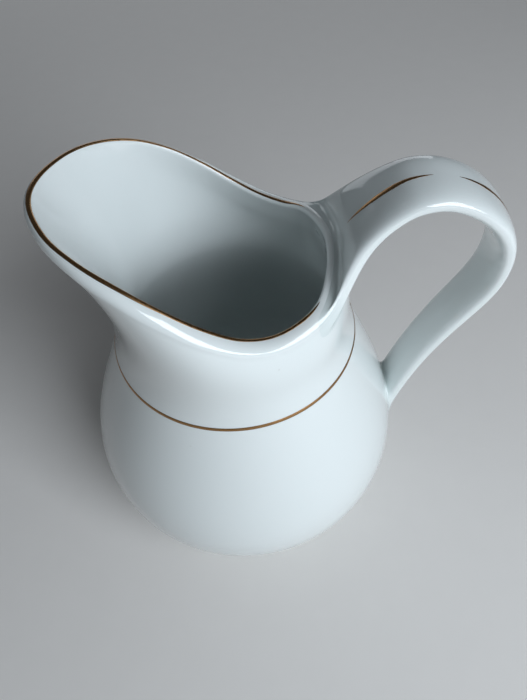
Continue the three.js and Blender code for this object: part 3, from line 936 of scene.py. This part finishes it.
def ring_tree():
    """The foot ring: a rounded bar swept round a circle, opening into the belly in a soft corner."""
    inputs = (
        ("Radius", "Float", 0.02),
        ("Width", "Float", 0.004),
        ("Height", "Float", 0.005),
        ("Edge", "Float", 0.001),
        ("Fillet", "Float", 0.001),
        ("Joint", "Float", 0.005),
        ("Axis", "Float", 0.0),
        ("Material", "Material", None),
    )
    group, tree, given = geometry_tree("foot ring", inputs)
    middle = given.also("Radius") - given.also("Width") * 0.5
    circle = tree.node("GeometryNodeCurvePrimitiveCircle", None, {"Resolution": 192, "Radius": middle})
    inputs = {"Width": given.also("Width"), "Height": given.also("Height")}
    bar = tree.node("GeometryNodeCurvePrimitiveQuadrilateral", None, inputs)
    inputs = {"Curve": bar, "Count": 6, "Radius": given.also("Edge")}
    bar = tree.node("GeometryNodeFilletCurve", {"mode": "POLY"}, inputs)
    bar = tree.node("GeometryNodeResampleCurve", None, {"Curve": bar, "Count": 88})
    swept = tree.node("GeometryNodeCurveToMesh", None, {"Curve": circle, "Profile Curve": bar})
    place = tree.node("GeometryNodeInputPosition")
    x = tree.node("ShaderNodeSeparateXYZ", None, {0: place}, 0)
    y, z = x.also("Y"), x.also("Z")
    radius = (x * x + y * y).math("SQRT")
    height = z + given.also("Height") * 0.5
    near = (1 - (given.also("Joint") - height) / given.also("Fillet")).clamped()
    bow = 1 - (1 - near * near).math("SQRT")
    side = ((radius - middle) / (given.also("Width") * 0.5)).math("MAXIMUM", -1.0).math("MINIMUM", 1.0)
    grown = radius + bow * given.also("Fillet") * side
    scale = grown / radius
    inputs = {0: x * scale + given.also("Axis"), 1: y * scale, 2: height}
    moved = tree.node("ShaderNodeCombineXYZ", None, inputs)
    placed = tree.node("GeometryNodeSetPosition", None, {"Geometry": swept, "Position": moved})
    end_tree(tree, given, placed)
    return group


# ------------------------------------------------------------------ the pieces
def jug_surface(scene):
    return BodySurface(scene.jug_body_sizes, scene.jug_foot_sizes)


def once(name, make):
    """The material of that name, made the first time it is asked for."""
    return bpy.data.materials.get(name) or make()


def glaze_of(scene):
    return once("glazed white porcelain", lambda: glaze_material(scene.jug_finishes))


def gold_of(scene):
    return once("burnished gold line", lambda: gold_material(scene.jug_finishes))


def body_piece(scene):
    """The cast body: underside, belly, neck, rolled lip, inner wall and floor as one closed skin."""
    shape = jug_surface(scene)
    columns = shape.COLUMNS
    degrees = np.arange(columns) * 360 / columns
    r, z = shape.skin(degrees)
    body, foot = scene.jug_body_sizes, scene.jug_foot_sizes
    inside = foot.radius - foot.width
    level = np.ones_like(degrees)
    dome = 0.5 * MM
    shares = (0.25, 0.5, 0.75, 0.93, 0.99)
    under = [(inside * k * level, (body.base_height + dome * (1 - k * k)) * level) for k in shares]
    floor_r, floor_z = r[-1], z[-1]
    floor = [(floor_r * k, mix(floor_z.min(), floor_z, k * k)) for k in (0.75, 0.5, 0.25)]
    r = np.concatenate([[p[0] for p in under], r, [p[0] for p in floor]])
    z = np.concatenate([[p[1] for p in under], z, [p[1] for p in floor]])
    turn = np.radians(degrees)
    points = around(r, turn, z).reshape(-1, 3)
    ends = [(AXIS_X, 0, body.base_height + dome), (AXIS_X, 0, float(floor_z.min()))]
    vertices = np.concatenate([points, ends])
    # The glaze runs thick low on the outside and in the corner of the floor inside, tinted greener there; the
    # darkening there is painted shade under the belly and in the inside corner.
    low = 1 - smooth(foot.height, foot.height + 5 * MM, vertices[:, 2])
    centre = np.hypot(vertices[:, 0] - AXIS_X, vertices[:, 1])
    well = (1 - smooth(6.9 * MM, 16 * MM, vertices[:, 2])) * smooth(20 * MM, 34 * MM, centre)
    pool = np.clip(0.55 * low + 0.2 * well, 0, 1)
    piece = mesh_object(BODY_NAME, vertices, skin_faces(len(r), columns), {"pool": pool})
    finished(piece, ["jug_body"], glaze_of(scene))


def foot_piece(scene):
    """The ring the jug stands on, its top edge tucked up inside the belly."""
    foot = scene.jug_foot_sizes
    tucked, soft_corner = 0.7 * MM, 0.25 * MM  # above where the belly meets the ring
    piece = mesh_object(FOOT_NAME, [(0, 0, 0)], [])
    looks = scene.jug_finishes
    material = once("wiped porcelain foot", lambda: foot_material(looks, 0.55 * foot.edge))
    values = {
        "Radius": foot.radius,
        "Width": foot.width,
        "Height": foot.height + tucked,
        "Edge": foot.edge,
        "Fillet": foot.fillet,
        "Joint": foot.height + soft_corner,
        "Axis": AXIS_X,
        "Material": material,
    }
    baked(piece, ring_tree(), values)
    finished(piece, ["foot_ring"], material)


def handle_piece(scene):
    """The strap with the slip of both joints smoothed into it, its two ends sunk in the wall."""
    strap = Strap(scene.jug_handle_sizes, jug_surface(scene))
    points, lip_normal, belly_normal = strap.skin(strap.ROWS, strap.COLUMNS)
    rows, columns = points.shape[:2]
    first = points[0] - lip_normal * strap.SINK
    last = points[-1] - belly_normal * strap.SINK
    grid = np.concatenate([first[None], points, last[None]])
    caps = []
    for ring in (first, last):
        middle = ring.mean(axis=0)
        gap, normal = strap.surface.nearest(middle[None])
        caps.append(middle - normal[0] * (gap[0] + 1.3 * MM))
    vertices = np.concatenate([grid.reshape(-1, 3), caps])
    gap, _ = strap.surface.nearest(vertices)
    # Greener, darker glaze near both joints: pooling tint and painted shade where the strap meets the body
    pool = 1 - smooth(0, 2.6 * MM, gap)
    piece = mesh_object(HANDLE_NAME, vertices, skin_faces(rows + 2, columns), {"pool": 0.5 * pool})
    part_shading(piece, columns, (1, rows))
    nodes = ["handle", "upper_handle_luting", "lower_handle_luting"]
    finished(piece, nodes, glaze_of(scene))


def guide_object(name, points):
    """A chain of edges for a line to follow."""
    mesh = bpy.data.meshes.new(name)
    edges = [(i, i + 1) for i in range(len(points) - 1)]
    mesh.from_pydata([tuple(map(float, p)) for p in points], edges, [])
    piece = bpy.data.objects.new(name, mesh)
    bpy.context.scene.collection.objects.link(piece)
    return piece


def rim_points(scene):
    """The crest of the lip, from one side of the handle round the spout to the other."""
    shape = jug_surface(scene)
    end = math.degrees(scene.jug_gilding_sizes.rim_end)
    degrees = np.linspace(end, 360 - end, 420)
    radius, height, _ = shape.mouth(degrees)
    off_middle = (degrees / 180 - 1) / (2 * SWELL_REACH)
    radius = radius + mix(0.1, -0.08, np.clip(1 - off_middle**2, 0, 1)) * MM
    return around(radius, np.radians(degrees), height)


def ring_points(scene):
    sizes = scene.jug_body_sizes
    turn = np.linspace(0, 2 * math.pi, 361)
    return around(sizes.shoulder_radius, turn, np.full_like(turn, sizes.shoulder_height))


def stroke_points(scene, start, end):
    """Down the strap's outer face, a little to the near side of its middle."""
    strap = Strap(scene.jug_handle_sizes, jug_surface(scene))
    off_middle = 0.02  # radians round the strap's section
    s = np.linspace(start, end, 80)
    return strap.bare(s, np.full_like(s, math.pi / 2 + off_middle))


def gilding_pieces(scene):
    """The four gold lines: lip, shoulder and two strokes down the handle."""
    sizes = scene.jug_gilding_sizes
    body, handle = bpy.data.objects[BODY_NAME], bpy.data.objects[HANDLE_NAME]
    tree = line_tree()
    gold = gold_of(scene)
    upper, lower = (stroke_points(scene, *ends) for ends in STROKES)
    lines = (
        ("rim_gold", "rim_gilding", rim_points(scene), body, sizes.rim_width, 0.035, 900),
        ("shoulder_gold", "shoulder_gilding", ring_points(scene), body, sizes.ring_width, 0.0, 700),
        ("handle_gold_upper", "handle_gilding_upper", upper, handle, sizes.stroke_width, 0.4, 160),
        ("handle_gold_back", "handle_gilding_back", lower, handle, sizes.stroke_width, 0.4, 150),
    )
    for i, (name, node, points, target, width, taper, steps) in enumerate(lines):
        piece = guide_object(name, points)
        values = {
            "Surface": target,
            "Width": width,
            "Thickness": sizes.thickness,
            "Taper": taper,
            "Swell": sizes.spout_swell if name == "rim_gold" else 0.0,
            "Waver": sizes.waver,
            "Seed": sizes.seed + i,
            "Steps": steps,
            "Material": gold,
        }
        baked(piece, tree, values)
        finished(piece, [node], gold)


# ------------------------------------------------------------------ the stage
def soft_light(name, at, size, power, tint):
    """A square-edged lamp turned toward the middle of the jug."""
    data = bpy.data.lights.new(name, "AREA")
    data.shape = "RECTANGLE"
    data.size, data.size_y = size
    data.energy = power
    data.color = tint
    lamp = bpy.data.objects.new(name, data)
    lamp.location = at
    lamp.visible_camera = False
    lamp.rotation_euler = (Vector(JUG_MIDDLE) - Vector(at)).to_track_quat("-Z", "Y").to_euler()
    bpy.context.scene.collection.objects.link(lamp)


def floor_material(looks):
    material, tree = shader("pale matt floor")
    place = tree.node("ShaderNodeTexCoord", out="Object")
    grain = tree.noise(place, 90, 3, 0.6)
    base = tree.blend(grain, rgba(looks.floor_colour), rgba([c * 0.96 for c in looks.floor_colour]))
    surface(tree, {"Base Color": base, "Roughness": 0.7})
    return material


def stage(scene):
    looks = scene.jug_stage_sizes
    half = looks.floor_size / 2
    corners = [(x * half, y * half, -FLOOR_GAP) for x, y in ((-1, -1), (1, -1), (1, 1), (-1, 1))]
    floor = mesh_object("floor", corners, [(0, 1, 2, 3)])
    floor.data.materials.append(floor_material(looks))
    lamps = (  # place, size, power and tint
        ("window", (0.36, -0.44, 0.40), (0.40, 0.50), looks.key_power, (0.86, 0.93, 1.0)),
        ("fill", (-0.10, 0.85, 0.20), (1.0, 0.3), looks.fill_power, (0.90, 0.95, 1.0)),
    )
    for lamp in lamps:
        soft_light(*lamp)
    scene.view_settings.view_transform = "Standard"
    world = bpy.data.worlds.new("room")
    scene.world = world
    world.use_nodes = True
    background = world.node_tree.nodes["Background"]
    background.inputs["Color"].default_value = (0.80, 0.86, 0.92, 1)
    background.inputs["Strength"].default_value = looks.room_light
    data = bpy.data.cameras.new("camera")
    data.sensor_width = 36
    data.lens = looks.lens
    data.clip_start = 0.005
    data.clip_end = 20
    camera = bpy.data.objects.new("camera", data)
    camera.location = CAMERA_AT
    tilt = math.pi / 2 - looks.camera_drop
    facing = Euler((tilt, 0, looks.camera_turn)).to_matrix() @ Euler((0, 0, -looks.camera_roll)).to_matrix()
    camera.rotation_euler = facing.to_euler()
    scene.collection.objects.link(camera)
    scene.camera = camera


# ------------------------------------------------------------------ add-on
class JUG_OT_body(bpy.types.Operator):
    """Build the glazed body with its lip and inside"""

    bl_idname = "jug.make_body"
    bl_label = "Glazed body"

    def execute(self, context):
        body_piece(context.scene)
        return {"FINISHED"}


class JUG_OT_foot(bpy.types.Operator):
    """Build the foot ring the jug stands on"""

    bl_idname = "jug.make_foot"
    bl_label = "Foot ring"

    def execute(self, context):
        foot_piece(context.scene)
        return {"FINISHED"}


class JUG_OT_handle(bpy.types.Operator):
    """Build the strap handle and smooth its joints into the body"""

    bl_idname = "jug.make_handle"
    bl_label = "Strap handle"

    def execute(self, context):
        handle_piece(context.scene)
        return {"FINISHED"}


class JUG_OT_gilding(bpy.types.Operator):
    """Paint the gold lines on the finished body and handle"""

    bl_idname = "jug.paint_gilding"
    bl_label = "Gold lines"

    def execute(self, context):
        gilding_pieces(context.scene)
        return {"FINISHED"}


class JUG_OT_stage(bpy.types.Operator):
    """Set the floor, the lights and the camera"""

    bl_idname = "jug.set_stage"
    bl_label = "Stage"

    def execute(self, context):
        stage(context.scene)
        return {"FINISHED"}


class JUG_PT_panel(bpy.types.Panel):
    """Lists the jug's pieces and their sizes"""

    bl_label = "Cream Jug"
    bl_idname = "JUG_PT_panel"
    bl_space_type = "VIEW_3D"
    bl_region_type = "UI"
    bl_category = "Cream Jug"

    def draw(self, context):
        for operator, group in STEPS:
            box = self.layout.box()
            box.operator(operator.bl_idname)
            sizes = getattr(context.scene, group)
            for key in sizes.__annotations__:
                box.prop(sizes, key)
        box = self.layout.box()
        for key in context.scene.jug_finishes.__annotations__:
            box.prop(context.scene.jug_finishes, key)


GROUPS = {
    "jug_body_sizes": JugBodySizes,
    "jug_foot_sizes": JugFootSizes,
    "jug_handle_sizes": JugHandleSizes,
    "jug_gilding_sizes": JugGildingSizes,
    "jug_finishes": JugFinishes,
    "jug_stage_sizes": JugStageSizes,
}
STEPS = (
    (JUG_OT_stage, "jug_stage_sizes"),
    (JUG_OT_body, "jug_body_sizes"),
    (JUG_OT_foot, "jug_foot_sizes"),
    (JUG_OT_handle, "jug_handle_sizes"),
    (JUG_OT_gilding, "jug_gilding_sizes"),
)
CLASSES = (*GROUPS.values(), *(operator for operator, _ in STEPS), JUG_PT_panel)


def register():
    for made in CLASSES:
        bpy.utils.register_class(made)
    for name, group in GROUPS.items():
        setattr(bpy.types.Scene, name, PointerProperty(type=group))


def unregister():
    for name in GROUPS:
        delattr(bpy.types.Scene, name)
    for made in reversed(CLASSES):
        bpy.utils.unregister_class(made)


def main():
    register()
    bpy.ops.jug.set_stage()
    bpy.ops.jug.make_body()
    bpy.ops.jug.make_foot()
    bpy.ops.jug.make_handle()
    bpy.ops.jug.paint_gilding()


if __name__ == "__main__":
    main()
